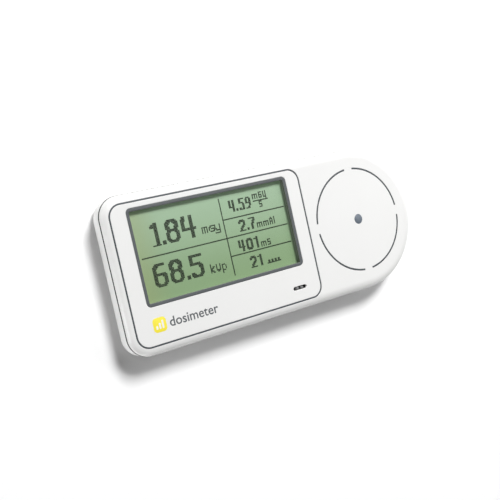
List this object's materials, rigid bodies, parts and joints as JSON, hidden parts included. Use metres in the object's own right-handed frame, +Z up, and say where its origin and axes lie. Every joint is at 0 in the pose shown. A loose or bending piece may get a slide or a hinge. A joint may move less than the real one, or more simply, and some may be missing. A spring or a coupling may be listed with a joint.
{
  "type": "handheld dose meter",
  "caption": "Slim pocket radiation dose meter: flat two-shell case with a half-round detector end, inset panel, window with dot-matrix display, side button and twist-off battery cap.",
  "frame": {"origin": "centre of the bottom of the box around the object, on the plane of its feet", "axes": "+X along the body to the half-round detector end, +Y across the body towards the side with the button, +Z up out of the display"},
  "size_m": [0.132, 0.055, 0.01],
  "materials": {
    "case_plastic": "fine satin white plastic",
    "dark_seal": "matt slate sealant",
    "dark_frame": "matt slate plastic",
    "clear_window": "clear, polished",
    "print_ink": "printed slate ink",
    "grille_grey": "matt grey",
    "display_green": "satin green film",
    "display_glass": "thin glass",
    "light_guide": "frosted acrylic",
    "white_plastic": "plain moulded plastic",
    "amber_film": "polyimide film",
    "circuit_board": "green solder resist on glass laminate",
    "chip_black": "moulded epoxy",
    "bright_metal": "plated steel",
    "capacitor_tan": "fired ceramic",
    "sounder_black": "moulded plastic",
    "foam": "closed-cell foam",
    "button_grey": "satin slate plastic",
    "cell_steel": "plated steel can",
    "gold_contact": "gilt spring strip",
    "diode_blue": "ceramic-bodied diode",
    "filter_copper": "copper foil",
    "frame_metal": "dense grey metal",
    "foil_black": "black-coated foil",
    "insert_brass": "turned brass",
    "foot_rubber": "matt rubber",
    "label_film": "satin silver film"
  },
  "bodies": {
    "case": {"rear_shell": "case_plastic", "front_shell": "case_plastic", "shell_seal": "dark_seal", "front_panel": "case_plastic", "panel_seal": "dark_seal", "window_frame": "dark_frame", "window_lens": "clear_window", "target_ring": "print_ink", "target_dot": "print_ink", "sounder_grille": "grille_grey", "lcd_polariser": "display_green", "lcd_front_glass": "display_glass", "lcd_rear_glass": "display_glass", "lcd_backlight": "light_guide", "lcd_holder": "white_plastic", "lcd_flat_cable": "amber_film", "display_connector": "white_plastic", "main_board": "circuit_board", "microcontroller": "chip_black", "memory_chip": "chip_black", "voltage_regulator": "chip_black", "quartz_crystal": "bright_metal", "capacitors": "capacitor_tan", "resistors": "chip_black", "board_screws": "bright_metal", "sounder": "sounder_black", "sounder_gasket": "foam", "power_switch": "sounder_black", "coin_cell": "cell_steel", "cell_holder": "sounder_black", "positive_contact": "gold_contact", "negative_contact": "gold_contact", "board_connector": "white_plastic", "detector_board": "circuit_board", "detector_diodes": "diode_blue", "detector_filters": "filter_copper", "detector_frame": "frame_metal", "light_shield": "foil_black", "backscatter_shield": "frame_metal", "charge_amplifiers": "chip_black", "shell_screws": "bright_metal", "screw_inserts": "insert_brass", "rubber_feet": "foot_rubber", "rear_label": "label_film"},
    "button": {"power_button": "button_grey", "switch_plunger": "white_plastic"},
    "cap": {"battery_cap": "case_plastic"}
  },
  "joints": [
    {"name": "button_press", "type": "slide", "parent": "case", "child": "button", "axis": [0, -1, 0], "range_m": [0, 0.0005], "stiffness_N_per_m": 1200, "springref_m": -0.0002},
    {"name": "cap_turn", "type": "hinge", "parent": "case", "child": "cap", "pos_m": [-0.02, 0, 0], "axis": [0, 0, -1], "range_deg": [0, 60]}
  ]
}
